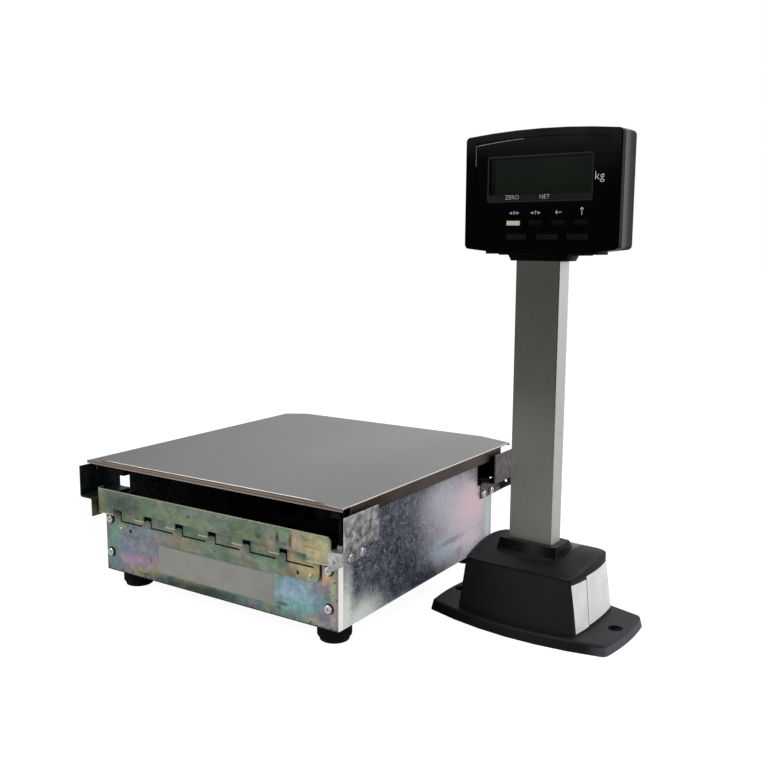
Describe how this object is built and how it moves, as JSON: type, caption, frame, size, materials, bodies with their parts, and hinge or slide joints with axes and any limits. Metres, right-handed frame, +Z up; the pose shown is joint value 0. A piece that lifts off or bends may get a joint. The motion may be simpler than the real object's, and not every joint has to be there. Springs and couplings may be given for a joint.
{
  "type": "bench scale",
  "caption": "Counter scale: a low sheet-metal weighing unit with a lift-off platter, a notched front rail and corner brackets, and a numeric display on its own pole stand.",
  "frame": {"origin": "centre of the footprint, on the counter", "axes": "+X along the front edge of the weighing unit, towards the display, +Y to the back, +Z up"},
  "size_m": [0.582, 0.375, 0.5106],
  "materials": {
    "stainless": "brushed, warm grey",
    "galvanised": "galvanised spangle",
    "yellow_zinc": "yellow-passivated zinc, iridescent",
    "zinc": "clear zinc",
    "black_steel": "black, matt",
    "cell_alloy": "machined",
    "column_alloy": "satin anodised",
    "rubber": "matt",
    "stand_plastic": "fine texture",
    "gloss_plastic": "gloss black",
    "head_plastic": "matt black",
    "glass_frame": "dark frame",
    "glass": "grey-green display glass",
    "board": "green circuit board",
    "key_zero": "pale key",
    "key_dark": "dark key"
  },
  "bodies": {
    "body": {"back_panel": "galvanised", "base_pan": "galvanised", "bracket_front_left": "zinc", "bracket_front_right": "zinc", "bracket_rear_left": "zinc", "bracket_rear_right": "zinc", "bracket_screw_left_1": "zinc", "bracket_screw_left_2": "zinc", "bracket_screw_left_3": "zinc", "bracket_screw_left_4": "zinc", "bracket_screw_right_1": "zinc", "bracket_screw_right_2": "zinc", "bracket_screw_right_3": "zinc", "bracket_screw_right_4": "zinc", "bubble_level": "black_steel", "cell_base_block": "cell_alloy", "column": "column_alloy", "column_foot": "zinc", "converter_board": "board", "data_socket": "black_steel", "display_board": "board", "face_plate": "gloss_plastic", "front_panel": "yellow_zinc", "front_rail": "yellow_zinc", "front_screw_1": "zinc", "front_screw_2": "zinc", "front_screw_3": "zinc", "front_screw_4": "zinc", "head_front": "gloss_plastic", "head_rear": "head_plastic", "hook_strip": "yellow_zinc", "lcd_frame": "glass_frame", "lcd_glass": "glass", "load_cell": "cell_alloy", "neck_skirt": "gloss_plastic", "platter_support": "black_steel", "power_socket": "black_steel", "rail_screw": "zinc", "side_panel_left": "galvanised", "side_panel_right": "galvanised", "stand_cap": "stand_plastic", "stand_housing": "stand_plastic", "stand_plate": "galvanised", "support_pad_1": "rubber", "support_pad_2": "rubber", "support_pad_3": "rubber", "support_pad_4": "rubber"},
    "foot_knob_front_left": {"foot_knob_front_left": "black_steel"},
    "foot_knob_front_right": {"foot_knob_front_right": "black_steel"},
    "foot_knob_rear_left": {"foot_knob_rear_left": "black_steel"},
    "foot_knob_rear_right": {"foot_knob_rear_right": "black_steel"},
    "foot_sole_front_left": {"foot_sole_front_left": "rubber"},
    "foot_sole_front_right": {"foot_sole_front_right": "rubber"},
    "foot_sole_rear_left": {"foot_sole_rear_left": "rubber"},
    "foot_sole_rear_right": {"foot_sole_rear_right": "rubber"},
    "key_left": {"key_left": "key_dark"},
    "key_tare": {"key_tare": "key_dark"},
    "key_up": {"key_up": "key_dark"},
    "key_zero": {"key_zero": "key_zero"},
    "platter": {"platter": "stainless"}
  },
  "joints": [
    {"name": "platter_lift", "type": "slide", "parent": "body", "child": "platter", "axis": [0, 0, 1], "range_m": [0, 0.08]},
    {"name": "foot_height_front_left", "type": "slide", "parent": "body", "child": "foot_sole_front_left", "axis": [0, 0, -1], "range_m": [0, 0.0059]},
    {"name": "foot_turn_front_left", "type": "hinge", "parent": "foot_sole_front_left", "child": "foot_knob_front_left", "pos_m": [-0.24657, -0.1425, 0.0033], "axis": [0, 0, -1], "range_deg": [0, 1700]},
    {"name": "foot_height_rear_left", "type": "slide", "parent": "body", "child": "foot_sole_rear_left", "axis": [0, 0, -1], "range_m": [0, 0.0059]},
    {"name": "foot_turn_rear_left", "type": "hinge", "parent": "foot_sole_rear_left", "child": "foot_knob_rear_left", "pos_m": [-0.24657, 0.1425, 0.0033], "axis": [0, 0, -1], "range_deg": [0, 1700]},
    {"name": "foot_height_front_right", "type": "slide", "parent": "body", "child": "foot_sole_front_right", "axis": [0, 0, -1], "range_m": [0, 0.0059]},
    {"name": "foot_turn_front_right", "type": "hinge", "parent": "foot_sole_front_right", "child": "foot_knob_front_right", "pos_m": [0.03743, -0.1425, 0.0033], "axis": [0, 0, -1], "range_deg": [0, 1700]},
    {"name": "foot_height_rear_right", "type": "slide", "parent": "body", "child": "foot_sole_rear_right", "axis": [0, 0, -1], "range_m": [0, 0.0059]},
    {"name": "foot_turn_rear_right", "type": "hinge", "parent": "foot_sole_rear_right", "child": "foot_knob_rear_right", "pos_m": [0.03743, 0.1425, 0.0033], "axis": [0, 0, -1], "range_deg": [0, 1700]},
    {"name": "key_zero_press", "type": "slide", "parent": "body", "child": "key_zero", "axis": [0.061, 0.9981, 0], "range_m": [0, 0.0007], "stiffness_N_per_m": 800, "springref_m": -0.0008},
    {"name": "key_tare_press", "type": "slide", "parent": "body", "child": "key_tare", "axis": [0.061, 0.9981, 0], "range_m": [0, 0.0007], "stiffness_N_per_m": 800, "springref_m": -0.0008},
    {"name": "key_left_press", "type": "slide", "parent": "body", "child": "key_left", "axis": [0.061, 0.9981, 0], "range_m": [0, 0.0007], "stiffness_N_per_m": 800, "springref_m": -0.0008},
    {"name": "key_up_press", "type": "slide", "parent": "body", "child": "key_up", "axis": [0.061, 0.9981, 0], "range_m": [0, 0.0007], "stiffness_N_per_m": 800, "springref_m": -0.0008}
  ],
  "couplings": [
    {"joint": "foot_turn_front_left", "follows": "foot_height_front_left", "rad_per_m": 5026.6},
    {"joint": "foot_turn_rear_left", "follows": "foot_height_rear_left", "rad_per_m": 5026.6},
    {"joint": "foot_turn_front_right", "follows": "foot_height_front_right", "rad_per_m": 5026.6},
    {"joint": "foot_turn_rear_right", "follows": "foot_height_rear_right", "rad_per_m": 5026.6}
  ]
}
